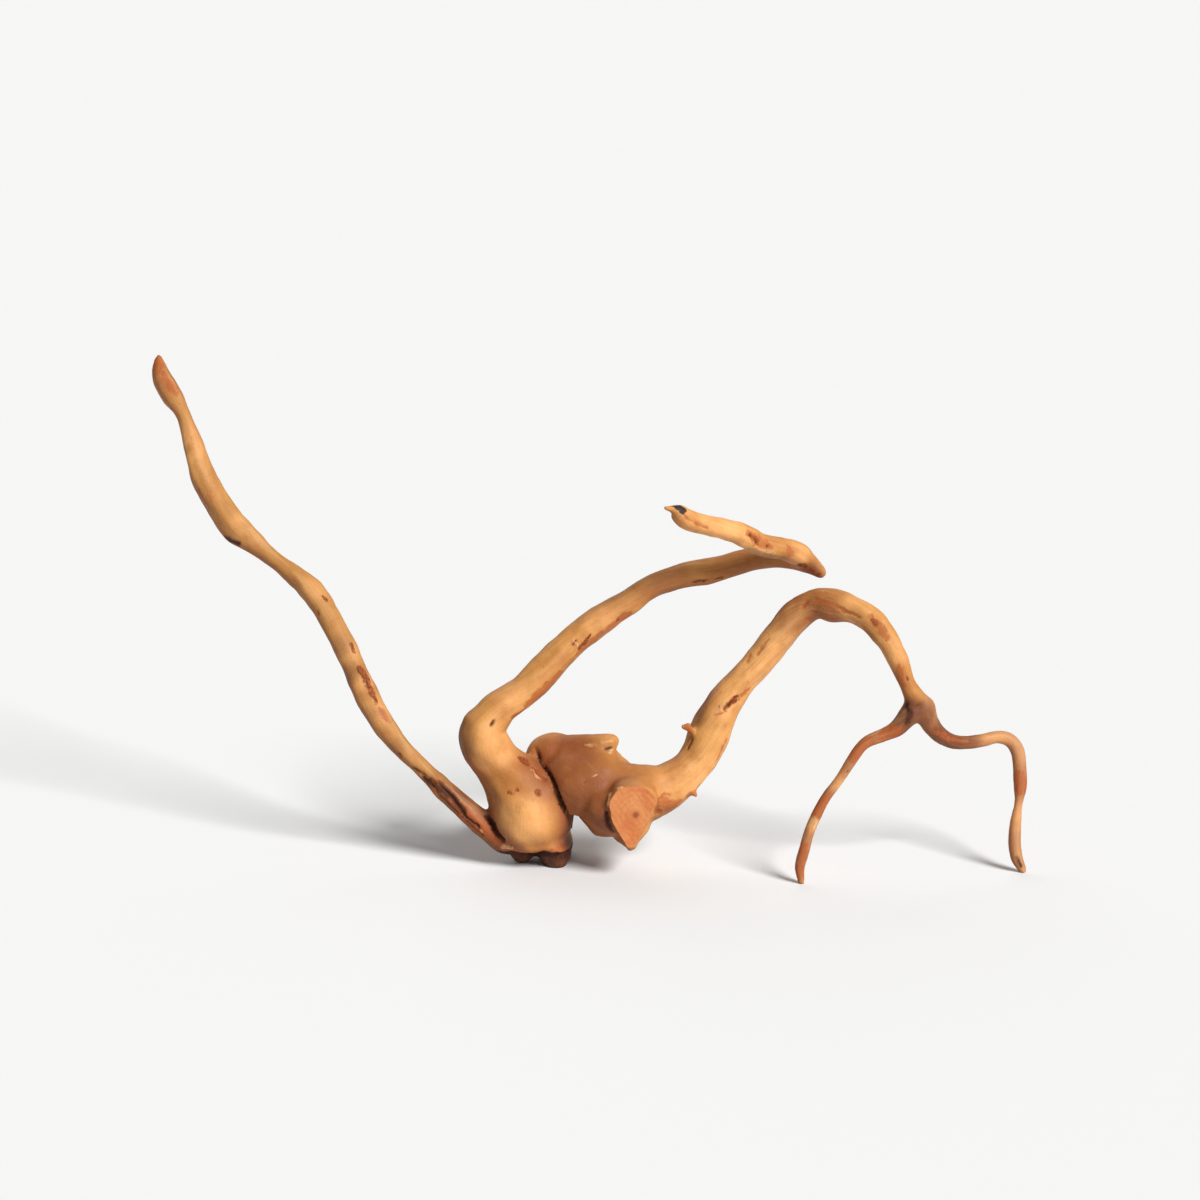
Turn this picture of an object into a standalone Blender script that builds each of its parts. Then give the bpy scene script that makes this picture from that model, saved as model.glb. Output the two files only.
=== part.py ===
"""Piece of driftwood: one dry, peeled root that stands on the heel of its burl and on two thin legs.

Frame: origin on the ground under the middle of the piece, +X towards the legs, +Y to the back, +Z up.
Every limb is a list of stations along its middle: x, y, z and the diameter there, all in millimetres.
"""

import math

import bmesh
import bpy
from mathutils import Matrix, Vector

MM = 0.001
SKIN_VOXEL = 1.1          # grain of the one skin grown over all limbs
FILLET_PASSES = 5         # smoothing that rounds the crotches between limbs
KEPT_FACES = 0.055        # share of the skin's faces that the finished root keeps
STATION_STEP = 2.0        # longest stretch between two rings of a limb
LIMB_SIDES = 4            # segments in a quarter ring, less one

# The left lobe of the burl, then the thick limb that rises from it, crooks over and ends in a blunt beak.
CROOK = [
    (-24, -19, 10, 28), (-26.5, -18.5, 20, 40), (-30.5, -18.5, 32, 40), (-37, -18.5, 43, 33),
    (-45.5, -17.5, 52.5, 27), (-51.5, -17.5, 62, 27), (-52.5, -17.5, 69.5, 23.5), (-49, -16.5, 75.5, 20.5),
    (-43.5, -15.5, 82, 18), (-33, -12.5, 88.5, 17), (-21.5, -9.5, 98.5, 17.5), (-10, -5.5, 110.5, 15.5),
    (3, -1.5, 121, 16), (19, 2.5, 130.5, 14), (32.5, 6.5, 139, 13), (47.5, 10.5, 144, 12.5),
    (63, 12.5, 146, 13.5), (78, 12.5, 150.5, 12.5), (93, 10.5, 153.5, 12), (106, 7.5, 153, 13),
    (114.5, 5.5, 149.5, 12), (120, 3.5, 145, 7.5),
]
# The branch that turns back from the beak, comes forward and was broken off.
HOOK = [
    (110, 4, 155.5, 13), (100, -2.5, 160.5, 12), (89, -8.5, 163.5, 12), (78.5, -16.5, 170, 11.5),
    (68.5, -24.5, 174.5, 10.5), (57.5, -31.5, 178.5, 10.5), (49.5, -37.5, 182, 11), (44.5, -41.5, 186.5, 9.5),
]
# The long whip that leaves the foot of the left lobe and leans back.
WHIP = [
    (-31.5, -22.5, 9, 12), (-44, -22.5, 13.5, 13), (-57, -21.5, 25.5, 14.5), (-70.5, -19.5, 37, 12),
    (-85.5, -15.5, 51.5, 9.5), (-99, -12.5, 65.5, 11), (-110.5, -8.5, 83.5, 13.5), (-119, -2.5, 101, 12.5),
    (-129, 4.5, 120, 12.5), (-140.5, 12.5, 135.5, 13), (-155.5, 20.5, 146.5, 9), (-170.5, 28.5, 157, 12),
    (-181, 33.5, 166.5, 14.5), (-193, 39.5, 180, 13.5), (-200, 43.5, 193.5, 13), (-203.5, 46.5, 205.5, 11),
    (-208.5, 48.5, 221, 8.5), (-214.5, 48.5, 232, 11.5), (-218.5, 46.5, 241, 11),
    (-219.5, 43.5, 249.5, 6), (-219, 42.5, 253, 2.5),
]
# The right lobe of the burl, then the limb that climbs, arches over and comes down to the fork.
ARCH = [
    (-13.5, -2.5, 48, 30.5), (-1, -14.5, 40.5, 45), (13, -20.5, 36, 42.5), (26, -22.5, 38, 31),
    (34.5, -22.5, 40, 27.5), (42, -21.5, 43, 23), (50.5, -20.5, 49.5, 19.5), (57.5, -17.5, 58, 21),
    (63, -14.5, 70, 21.5), (68.5, -11.5, 81, 19), (76, -9.5, 91, 16.5), (86.5, -8.5, 103, 16.5),
    (96.5, -8.5, 116, 17), (105.5, -10.5, 127.5, 17), (115, -13.5, 134.5, 15.5), (124.5, -17.5, 134.5, 17),
    (134, -22.5, 133, 14.5), (142.5, -27.5, 128.5, 13.5), (149.5, -31.5, 120.5, 12),
    (155.5, -34.5, 110, 10.5), (160, -36.5, 98.5, 9.5), (165, -37.5, 89.5, 12),
]
NEAR_LEG = [
    (163.5, -37.5, 86.5, 12), (155.5, -39.5, 77.5, 9.5), (149, -40.5, 74, 8), (139, -42.5, 70, 6.5),
    (133, -44, 63, 6), (127, -45.5, 53.5, 5.5), (119.5, -47, 43.5, 5.5), (115, -48.5, 35.5, 6),
    (111, -49.5, 26, 6), (108.5, -50.5, 16.5, 6.5), (106.5, -51, 8.5, 6.5), (107, -51.5, -1.5, 5.5),
]
FAR_LEG = [
    (166, -37, 88.5, 13), (173, -33.5, 75.5, 9.5), (180, -29.5, 69, 8.5), (188.5, -24.5, 65.5, 7.5),
    (199.5, -18.5, 65, 7.5), (207.5, -15.5, 66, 7), (214.5, -14.5, 64, 7.5), (218.5, -15.5, 58.5, 8),
    (219.5, -18.5, 50, 7.5), (219.5, -21.5, 41, 7), (218.5, -24.5, 33.5, 5), (217, -26.5, 24, 6.5),
    (216.5, -29.5, 14, 7), (217.5, -31.5, 7, 7), (220, -32.5, 0.5, 6.5),
]
# Short stubs and the torn spur: nubs where side roots were pulled off.
SPUR = [(48, -39, 186, 6), (43, -42.5, 188.5, 4), (38, -45.5, 189.5, 3)]
CORNER = [(1, -12, 57.5, 18), (9, -15.5, 62, 13), (15, -16, 65, 9)]
UPPER_NUB = [(56, -21, 69, 7), (52, -23, 71.5, 4.5), (49, -24, 74, 3)]
LOWER_NUB = [(51, -25, 43.5, 6), (54, -27, 40, 4), (56, -28, 37.5, 3)]
ELBOW = [(-53, -18, 75, 12), (-59, -19, 76.5, 7), (-62.5, -19, 77, 3)]

LIMBS = {
    "crook": CROOK, "hook": HOOK, "whip": WHIP, "arch": ARCH, "near_leg": NEAR_LEG, "far_leg": FAR_LEG,
    "spur": SPUR, "corner": CORNER, "upper_nub": UPPER_NUB, "lower_nub": LOWER_NUB, "elbow": ELBOW,
}
# Round swellings of the burl and of the fork: the middle and the half sizes.
LOBES = {
    "heel": ((-17.5, -10, 9), (9.5, 24.5, 12)),
    "toe": ((-33, -17.5, 7), (8, 14, 8.5)),
    "back": ((-20, -3, 27), (12.5, 17, 24)),
    "shoulder": ((-17, -3, 50.5), (15.5, 14, 15)),
    "saddle": ((8, -9, 40), (17, 17, 17)),
    "stub": ((21.5, -34, 30), (11.5, 22, 16.5)),
    "stub_tip": ((21, -39, 19.5), (5.5, 9, 6)),
    "fork_bulge": ((169.5, -36, 86), (5.5, 6, 7)),
}
# Flat cuts: a point of the face, the direction it looks in and the side of the square that the cut reaches.
CUTS = {
    "sawn_stub": ((22.2, -47.1, 30.9), (0.2, -0.95, 0.12), 60),
    "ground": ((0, 0, 0), (0, 0, -1), 600),
}


def clear_scene():
    for old in list(bpy.data.objects):
        bpy.data.objects.remove(old, do_unlink=True)


def spaced_stations(stations):
    """Points and radii every few millimetres on one smooth curve through the stations."""
    rows = [Vector(row) for row in stations]
    rows = [2 * rows[0] - rows[1], *rows, 2 * rows[-1] - rows[-2]]
    smooth = []
    for before, start, end, after in zip(rows, rows[1:], rows[2:], rows[3:]):
        lead_out, lead_in = (end - before) / 6, (after - start) / 6
        count = max(2, math.ceil((end - start).to_3d().length / STATION_STEP))
        handles = (start, start + lead_out, end - lead_in, end)
        for step in range(count):
            t = step / count
            weights = ((1 - t) ** 3, 3 * t * (1 - t) ** 2, 3 * t * t * (1 - t), t ** 3)
            smooth.append(sum((w * h for w, h in zip(weights, handles)), Vector((0, 0, 0, 0))))
    smooth.append(rows[-2])
    return smooth


def limb(name, stations, collection):
    """A round limb with the stations' changing thickness, as a closed mesh."""
    curve = bpy.data.curves.new(name, "CURVE")
    curve.dimensions = "3D"
    curve.bevel_depth = MM
    curve.bevel_resolution = LIMB_SIDES
    curve.use_fill_caps = True
    rows = spaced_stations(stations)
    spline = curve.splines.new("POLY")
    spline.points.add(len(rows) - 1)
    for point, (x, y, z, diameter) in zip(spline.points, rows):
        point.co = (x * MM, y * MM, z * MM, 1)
        point.radius = diameter / 2
    guide = bpy.data.objects.new(name, curve)
    collection.objects.link(guide)
    return closed_mesh_of(guide, collection)


def closed_mesh_of(guide, collection):
    """The curve's surface as a mesh object with its caps welded on."""
    bpy.context.view_layer.update()
    graph = bpy.context.evaluated_depsgraph_get()
    mesh = bpy.data.meshes.new_from_object(guide.evaluated_get(graph))
    made = bpy.data.objects.new(guide.name + "_mesh", mesh)
    made.matrix_world = guide.matrix_world
    collection.objects.link(made)
    bpy.data.objects.remove(guide)
    work = bmesh.new()
    work.from_mesh(mesh)
    bmesh.ops.remove_doubles(work, verts=work.verts, dist=0.01 * MM)
    bmesh.ops.recalc_face_normals(work, faces=work.faces)
    work.to_mesh(mesh)
    work.free()
    return made


def lobe(name, centre, half_sizes, collection):
    """An ellipsoid swelling."""
    bpy.ops.mesh.primitive_uv_sphere_add(segments=32, ring_count=16)
    made = bpy.context.object
    made.name = name
    made.data.transform(Matrix.Diagonal((*(size * MM for size in half_sizes), 1)))
    made.location = Vector(centre) * MM
    for other in list(made.users_collection):
        other.objects.unlink(made)
    collection.objects.link(made)
    return made


def cutter(name, centre, outward, side, collection):
    """A box whose one face cuts the wood square to the outward direction at the centre."""
    bpy.ops.mesh.primitive_cube_add(size=side * MM)
    made = bpy.context.object
    made.name = name
    outward = Vector(outward).normalized()
    turned = outward.to_track_quat("Z", "Y").to_matrix().to_4x4()
    place = (Vector(centre) + outward * side / 2) * MM
    made.data.transform(Matrix.Translation(place) @ turned)
    made.hide_render = True
    made.display_type = "WIRE"
    for other in list(made.users_collection):
        other.objects.unlink(made)
    collection.objects.link(made)
    return made


def wood_material():
    material = bpy.data.materials.new("peeled_root_wood")
    material.use_nodes = True
    shader = material.node_tree.nodes["Principled BSDF"]
    shader.inputs["Base Color"].default_value = (0.62, 0.31, 0.11, 1)
    shader.inputs["Roughness"].default_value = 0.6
    shader.inputs["Metallic"].default_value = 0.0
    return material


def joined(pieces, name):
    """The overlapping limbs and lobes as one object, each still a closed shell."""
    work = bmesh.new()
    for piece in pieces:
        mesh = piece.data.copy()
        mesh.transform(piece.matrix_basis)
        work.from_mesh(mesh)
        bpy.data.meshes.remove(mesh)
        bpy.data.objects.remove(piece)
    mesh = bpy.data.meshes.new(name)
    work.to_mesh(mesh)
    work.free()
    return bpy.data.objects.new(name, mesh)


def fuse(wood):
    """Grows the shells into one skin, rounds the crotches between limbs and thins the faces."""
    skin = wood.modifiers.new("one_skin", "REMESH")
    skin.mode = "VOXEL"
    skin.voxel_size = SKIN_VOXEL * MM
    fillet = wood.modifiers.new("fillet", "SMOOTH")
    fillet.factor = 0.5
    fillet.iterations = FILLET_PASSES
    thin = wood.modifiers.new("fewer_faces", "DECIMATE")
    thin.ratio = KEPT_FACES


def cut(wood, tool):
    saw = wood.modifiers.new(tool.name, "BOOLEAN")
    saw.operation = "DIFFERENCE"
    saw.object = tool


def main():
    clear_scene()
    driftwood = bpy.data.collections.new("driftwood")
    cutters = bpy.data.collections.new("cutters")
    cutters.hide_render = True
    for collection in (driftwood, cutters):
        bpy.context.scene.collection.children.link(collection)
    shells = [limb(name, stations, driftwood) for name, stations in LIMBS.items()]
    shells += [lobe(name, *shape, driftwood) for name, shape in LOBES.items()]
    wood = joined(shells, "driftwood_root")
    driftwood.objects.link(wood)
    wood.data.materials.append(wood_material())
    fuse(wood)
    for name, cut_shape in CUTS.items():
        cut(wood, cutter(name, *cut_shape, cutters))


main()
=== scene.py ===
import math

import bmesh
import bpy
import numpy as np
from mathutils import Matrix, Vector, noise


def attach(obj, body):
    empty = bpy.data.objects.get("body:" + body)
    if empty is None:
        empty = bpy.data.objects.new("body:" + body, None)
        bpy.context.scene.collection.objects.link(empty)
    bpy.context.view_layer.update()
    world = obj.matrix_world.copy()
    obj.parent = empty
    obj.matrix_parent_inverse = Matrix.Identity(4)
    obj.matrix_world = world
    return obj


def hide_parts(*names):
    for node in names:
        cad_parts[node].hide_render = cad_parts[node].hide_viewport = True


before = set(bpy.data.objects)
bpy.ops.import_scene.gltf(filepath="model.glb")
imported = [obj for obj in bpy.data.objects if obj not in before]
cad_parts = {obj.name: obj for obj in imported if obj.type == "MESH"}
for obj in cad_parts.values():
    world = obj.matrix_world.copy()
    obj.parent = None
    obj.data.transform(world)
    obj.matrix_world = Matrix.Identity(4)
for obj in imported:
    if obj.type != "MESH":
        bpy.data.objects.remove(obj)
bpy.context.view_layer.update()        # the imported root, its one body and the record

# ==== The grown wood: burl, limbs and legs ====
# One dry azalea root that grew as one piece and lost its bark. Each limb swells and thins along its
# length and carries shallow ribs that wind slowly round it, the way roots grow between stones.
MM = 0.001
RING_STEP = 1.2        # mm between the rings of a limb
LINE_STEP = 2.0        # mm between the points read from a limb's smooth middle line
RIB_LENGTH = 0.06      # m along a limb over which its ribs change
SKIN_GRAIN = 0.97      # mm, the size of the skin's faces
THIN_LIMB = 9.0        # mm; a limb mostly thinner than this has shallower ribs, closer lumps and more twist
THIN_HABIT = {"Sides": 24, "Rib Share": 0.16, "Lump Share": 0.25, "Lump Length": 0.012, "Twist": 25.0}
THICK_HABIT = {"Sides": 48, "Rib Share": 0.26, "Lump Share": 0.16, "Lump Length": 0.022, "Twist": 14.0}
LOBE_SWELL = 0.07      # share by which a lobe's surface swells and sinks

# Stations along each limb's middle: x, y, z and the diameter there, in millimetres.
LIMBS = {
    # the left lobe of the burl, then the thick limb that crooks over and ends in a blunt beak
    "crook": [
        (-24, -19, 10, 28), (-26.5, -18.5, 20, 40), (-30.5, -18.5, 32, 40), (-37, -18.5, 43, 33),
        (-44.5, -17.5, 52.5, 25), (-51, -17.5, 62, 25.5), (-52.5, -17.5, 69.5, 23.5), (-49, -16.5, 75.5, 20.5),
        (-43.5, -15.5, 82, 18), (-33, -12.5, 88.5, 17), (-21.5, -9.5, 98.5, 17.5), (-10, -5.5, 110.5, 15.5),
        (3, -1.5, 121, 16), (19, 2.5, 130.5, 14), (32.5, 6.5, 139, 13), (47.5, 10.5, 144, 12.5),
        (63, 12.5, 146, 13.5), (78, 12.5, 150.5, 12.5), (93, 10.5, 153.5, 12), (106, 7.5, 153.8, 13.5),
        (113, 5.4, 151.2, 11.6), (117, 4.2, 148.4, 8.4), (119.4, 3.5, 146.4, 6.4), (120.8, 3.1, 145.2, 3.4),
    ],
    # the branch that turns back from the beak and comes forward to a broken end
    "hook": [
        (114, 5, 151, 8), (108.5, 2.6, 156, 12.6), (100, -2.5, 160.5, 12), (89, -8.5, 163.5, 12),
        (78.5, -16.5, 170, 11.5), (68.5, -24.5, 174.5, 10.5), (57.5, -31.5, 178.5, 10.5), (49.5, -37.5, 182, 11),
        (44.5, -41.5, 186.5, 9.5),
    ],
    # the long whip that leaves the foot of the left lobe and leans back
    "whip": [
        (-31.5, -22.5, 9, 12), (-44, -22.5, 13.8, 12), (-57, -21.5, 26, 13.2), (-70.5, -19.5, 37.6, 11),
        (-85.5, -15.5, 51.8, 9), (-99, -12.5, 65.5, 11), (-110.5, -8.5, 83.5, 13.5), (-119, -2.5, 101, 12.5),
        (-129, 4.5, 120, 12.5), (-140.5, 12.5, 135.5, 13), (-155.5, 20.5, 146.5, 9), (-170.5, 28.5, 157, 12),
        (-181.3, 33, 165.4, 15.6), (-193.4, 39.5, 179.6, 14.2), (-200, 43.5, 193.5, 13), (-203.5, 46.5, 205.5, 11),
        (-208.5, 48.5, 221, 8.5), (-214.5, 48.5, 232, 11.5), (-218.5, 46.5, 241, 11),
        (-219.5, 43.5, 249.5, 6), (-219, 42.5, 253, 2.5),
    ],
    # the right lobe of the burl, then the limb that climbs, arches over and comes down to the fork
    "arch": [
        (-13.5, -2.5, 48, 30.5), (-1, -14.5, 40.5, 45), (13, -20.5, 36, 42.5), (26, -22.5, 38, 31),
        (34.5, -22.5, 40, 27.5), (42, -21.5, 43, 23), (50.5, -20.5, 49.5, 19.5), (57.5, -17.5, 58, 21),
        (63, -14.5, 70, 21.5), (68.5, -11.5, 81, 19), (76, -9.5, 91, 16.5), (86.5, -8.5, 103, 16.5),
        (96.5, -8.5, 116, 17), (105.5, -10.5, 127.5, 17), (115, -13.5, 134.5, 15.5), (124.5, -17.5, 134.5, 17),
        (134, -22.5, 133, 14.5), (142.5, -27.5, 128.5, 13.5), (149.5, -31.5, 120.5, 12),
        (155.5, -34.5, 110, 10.5), (160, -36.5, 98.5, 9.5), (165, -37.5, 89.5, 12),
    ],
    "near_leg": [
        (163.5, -37.5, 86.5, 12), (155.5, -39.5, 77.5, 9.5), (149, -40.5, 74, 8), (139, -42.5, 70, 6.5),
        (133, -44, 63, 6), (127, -45.5, 53.5, 5.5), (119.5, -47, 43.5, 5.5), (115, -48.5, 35.5, 6),
        (111, -49.5, 26, 6), (108.5, -50.5, 16.5, 6.4), (106.5, -51, 8.5, 6),
        (107, -51.5, 2.5, 4.6), (107.4, -51.8, -1.5, 3.2),
    ],
    "far_leg": [
        (166, -37, 88.5, 13), (173, -33.5, 75.5, 9.5), (180, -29.5, 69, 8.5), (188.5, -24.5, 65.5, 7.5),
        (199.5, -18.5, 65, 7.5), (207.5, -15.5, 66, 7), (214.5, -14.5, 64, 7.5), (218.5, -15.5, 58.5, 8),
        (219.5, -18.5, 50, 7.5), (219.5, -21.5, 41, 7), (218.5, -24.5, 33.5, 5), (217, -26.5, 24, 6.5),
        (216.5, -29.5, 14, 7), (217.5, -31.5, 7, 6.6), (219.6, -32.5, 2.5, 5.2), (220.8, -33, -0.5, 4),
    ],
    # short stubs and the torn spur, where side roots were pulled off
    "spur": [(48, -39, 186, 7), (43, -42.5, 188, 5.5), (39.6, -45, 189, 3.8), (37.6, -45.8, 189.6, 2.8)],
    "corner": [(-9, -8, 55, 20), (1, -12, 57.8, 18), (9, -15.5, 61.6, 13.4), (14.2, -16, 65, 8), (15.8, -16, 66.4, 5)],
    "upper_nub": [(56, -21, 69, 6), (53, -22.6, 71, 4.2), (51.6, -23.4, 73, 3.9), (51, -23.6, 76, 3.5)],
    "upper_prong": [(52.4, -23, 71.6, 3.8), (49.8, -24, 72.8, 3.5), (47.4, -24.6, 74.6, 3.2)],
    "lower_nub": [(51, -25, 43.5, 6), (54, -27, 40, 4), (56, -28, 37.5, 3)],
    "elbow": [(-53, -18, 75, 12), (-59, -19, 76.5, 7), (-62.5, -19, 77, 3)],
}
# Round swellings of the burl and of the fork: the middle and the half sizes, in millimetres.
LOBES = {
    "heel": ((-17, -10, 9), (9.5, 24.5, 12)),
    "heel_ball": ((-15.5, -21, 6.6), (8.6, 9.5, 8)),
    "toe": ((-33, -15.5, 8.3), (8, 12, 8)),
    "back": ((-20, -3, 27), (12.5, 17, 24)),
    "shoulder": ((-17, -3, 50.5), (15.5, 14, 15)),
    "saddle": ((8, -9, 40), (17, 17, 17)),
    "stub": ((21.8, -34, 31.5), (12.6, 23, 18.6)),
    "stub_top": ((21.8, -34, 39.6), (13.8, 22, 10.6)),
    "flank": ((9, -31.5, 33), (12, 15.2, 14)),
    "stub_tip": ((21, -39, 19.5), (5.5, 9, 6)),
    "fork_bulge": ((169.5, -36, 86), (5.5, 6, 7)),
    "sole": ((-25.5, -12, 9), (7.5, 12.5, 6.5)),
    "cheek": ((-22, -22, 35), (12, 12.5, 14)),
    "collar": ((17, -29, 37), (15.5, 13.5, 13)),
    "elbow_corner": ((-57, -18, 74.6), (6, 6.5, 4.4)),
}


def smooth_line(stations):
    """Points x, y, z and diameter every couple of millimetres on one smooth curve through the stations."""
    rows = np.array(stations, float)
    rows = np.vstack([2 * rows[0] - rows[1], rows, 2 * rows[-1] - rows[-2]])
    line = []
    for before, start, end, after in zip(rows, rows[1:], rows[2:], rows[3:]):
        lead_out, lead_in = (end - before) / 6, (after - start) / 6
        count = max(2, math.ceil(np.linalg.norm((end - start)[:3]) / LINE_STEP))
        for t in np.arange(count) / count:
            weights = ((1 - t) ** 3, 3 * t * (1 - t) ** 2, 3 * t * t * (1 - t), t ** 3)
            handles = (start, start + lead_out, end - lead_in, end)
            line.append(sum(w * h for w, h in zip(weights, handles)))
    line.append(rows[-2])
    return np.array(line)


def in_scene(name, data):
    """A new object of that data, linked into the scene."""
    thing = bpy.data.objects.new(name, data)
    bpy.context.collection.objects.link(thing)
    return thing


def add(tree, kind, inputs=(), **settings):
    """Adds a node with its settings, and fills or links its inputs by name or number."""
    node = tree.nodes.new(kind)
    for name, value in settings.items():
        setattr(node, name, value)
    for name, value in dict(inputs).items():
        if isinstance(value, bpy.types.NodeSocket):
            tree.links.new(value, node.inputs[name])
        else:
            node.inputs[name].default_value = value
    return node


def shape_tree(name, given_kinds):
    """A new Geometry Nodes tree that makes one shape, with its inputs of the given kinds."""
    tree = bpy.data.node_groups.new(name, "GeometryNodeTree")
    tree.interface.new_socket("Shape", in_out="OUTPUT", socket_type="NodeSocketGeometry")
    for given_name, kind in given_kinds.items():
        tree.interface.new_socket(given_name, in_out="INPUT", socket_type="NodeSocket" + kind)
    return tree, add(tree, "NodeGroupInput").outputs


def stored(tree, name, kind="FLOAT"):
    """The field of values kept under a name."""
    return add(tree, "GeometryNodeInputNamedAttribute", {"Name": name}, data_type=kind).outputs[0]


def limb_growth_tree():
    """Sweeps a ribbed, lumpy limb along a line of points that carry their own girth."""
    tree, given = shape_tree("limb_growth", {
        "Line": "Geometry", "Ring Step": "Float", "Sides": "Int", "Rib Share": "Float", "Rib Length": "Float",
        "Lump Share": "Float", "Lump Length": "Float", "Twist": "Float", "Seed": "Float", "Wood": "Material"})

    def maths(operation, first, second=0.0):
        return add(tree, "ShaderNodeMath", {0: first, 1: second}, operation=operation).outputs[0]

    rail = add(tree, "GeometryNodeMeshToCurve", {0: given["Line"]})
    rail = add(tree, "GeometryNodeResampleCurve", {"Curve": rail.outputs[0], "Length": given["Ring Step"]},
               mode="LENGTH")
    walked = add(tree, "GeometryNodeSplineParameter")
    rail = add(tree, "GeometryNodeStoreNamedAttribute",
               {"Geometry": rail.outputs[0], "Name": "walked", "Value": walked.outputs["Length"]})
    ring = add(tree, "GeometryNodeCurvePrimitiveCircle", {"Resolution": given["Sides"], "Radius": 1.0})
    turned = add(tree, "GeometryNodeSplineParameter")
    ring = add(tree, "GeometryNodeStoreNamedAttribute",
               {"Geometry": ring.outputs[0], "Name": "turned", "Value": turned.outputs["Factor"]})
    girth = stored(tree, "girth")
    tube = add(tree, "GeometryNodeCurveToMesh",
               {"Curve": rail.outputs[0], "Profile Curve": ring.outputs[0], "Scale": girth, "Fill Caps": True})
    length = stored(tree, "walked")
    angle = maths("ADD", maths("MULTIPLY", stored(tree, "turned"), math.tau),
                  maths("MULTIPLY", length, given["Twist"]))
    swell = None
    for depth, reach, across in (("Rib Share", "Rib Length", 1.5), ("Lump Share", "Lump Length", 0.6)):
        place = add(tree, "ShaderNodeCombineXYZ", {
            0: maths("MULTIPLY", maths("COSINE", angle), across),
            1: maths("MULTIPLY", maths("SINE", angle), across),
            2: maths("DIVIDE", length, given[reach])})
        wave = add(tree, "ShaderNodeTexNoise",
                   {"Vector": place.outputs[0], "W": given["Seed"], "Scale": 1.0, "Detail": 1.0},
                   noise_dimensions="4D")
        part = maths("MULTIPLY", maths("SUBTRACT", wave.outputs[0], 0.5), given[depth])
        swell = part if swell is None else maths("ADD", swell, part)
    outward = add(tree, "GeometryNodeInputNormal").outputs[0]
    move = add(tree, "ShaderNodeVectorMath", {0: outward, "Scale": maths("MULTIPLY", swell, girth)},
               operation="SCALE")
    shaped = add(tree, "GeometryNodeSetPosition", {"Geometry": tube.outputs[0], "Offset": move.outputs[0]})
    real = add(tree, "GeometryNodeRealizeInstances", {0: shaped.outputs[0]})
    wood = add(tree, "GeometryNodeSetMaterial", {"Geometry": real.outputs[0], "Material": given["Wood"]})
    add(tree, "NodeGroupOutput", {0: wood.outputs[0]})
    return tree


def settings_of(modifier, values):
    """Sets a Geometry Nodes modifier's named inputs."""
    for item in modifier.node_group.interface.items_tree:
        if item.in_out == "INPUT" and item.name in values:
            modifier[item.identifier] = values[item.name]


def plain_mesh(thing, name):
    """The object's evaluated shape as a new mesh; the object itself is removed."""
    bpy.context.view_layer.update()
    mesh = bpy.data.meshes.new_from_object(thing.evaluated_get(bpy.context.evaluated_depsgraph_get()))
    mesh.name = name
    bpy.data.objects.remove(thing)
    return mesh


wood = bpy.data.materials.new("dry_peeled_azalea_root")
growth = limb_growth_tree()
shells = bmesh.new()
for number, (name, stations) in enumerate(LIMBS.items()):
    line = smooth_line(stations)
    mesh = bpy.data.meshes.new(name)
    mesh.from_pydata((line[:, :3] * MM).tolist(), [(i, i + 1) for i in range(len(line) - 1)], [])
    mesh.attributes.new("girth", "FLOAT", "POINT").data.foreach_set("value", line[:, 3] / 2 * MM)
    limb = in_scene(name, mesh)
    grow = limb.modifiers.new("limb_growth", "NODES")
    grow.node_group = growth
    habit = THIN_HABIT if float(np.median(line[:, 3])) < THIN_LIMB else THICK_HABIT
    settings_of(grow, {**habit, "Ring Step": RING_STEP * MM, "Rib Length": RIB_LENGTH, "Seed": 3.7 * number,
                       "Wood": wood})
    grown = plain_mesh(limb, name)
    shells.from_mesh(grown)
    bpy.data.meshes.remove(grown)
for name, (middle, half_sizes) in LOBES.items():
    ball = bmesh.ops.create_uvsphere(shells, u_segments=64, v_segments=32, radius=1.0)
    for vert in ball["verts"]:
        swell = 1.0 + LOBE_SWELL * noise.noise(vert.co * 1.7 + Vector(middle))
        vert.co = Vector([m + h * c * swell for m, h, c in zip(middle, half_sizes, vert.co)]) * MM
bmesh.ops.remove_doubles(shells, verts=shells.verts, dist=0.00001)
bmesh.ops.recalc_face_normals(shells, faces=shells.faces)
mesh = bpy.data.meshes.new("shells")
shells.to_mesh(mesh)
shells.free()
skin = in_scene("shells", mesh)
grown_together = skin.modifiers.new("one_skin", "REMESH")
grown_together.mode = "VOXEL"
grown_together.voxel_size = SKIN_GRAIN * MM
root_mesh = plain_mesh(skin, "driftwood")

# The skin as numbers, in millimetres.
count = len(root_mesh.vertices)
skin_at = np.empty(count * 3)
root_mesh.vertices.foreach_get("co", skin_at)
skin_at = skin_at.reshape(-1, 3) / MM
ends = np.empty(len(root_mesh.edges) * 2, int)
root_mesh.edges.foreach_get("vertices", ends)
ends = ends.reshape(-1, 2)
valence = np.bincount(ends.ravel(), minlength=count)[:, None]


def neighbour_mean(values):
    """Each point's mean of its neighbours on the skin."""
    total = [np.bincount(ends[:, 0], column[ends[:, 1]], count) + np.bincount(ends[:, 1], column[ends[:, 0]], count)
             for column in values.T]
    return np.array(total).T / valence


def smoothed(values, passes, pull=0.5):
    """Draws each point's values toward its neighbours' mean, by one share or by a share for each point."""
    for _ in range(passes):
        values = values + pull * (neighbour_mean(values) - values)
    return values


def ramp(values, low, high):
    """0 below low, 1 above high and a smooth step between."""
    t = np.clip((values - low) / (high - low), 0, 1)
    return t * t * (3 - 2 * t)


def fade(values, low, high):
    """1 below low, 0 above high and a smooth step between."""
    return ramp(-values, -high, -low)


def away_from(place):
    """Each point's distance from a place."""
    return np.linalg.norm(skin_at - np.array(place), axis=1)


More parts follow.
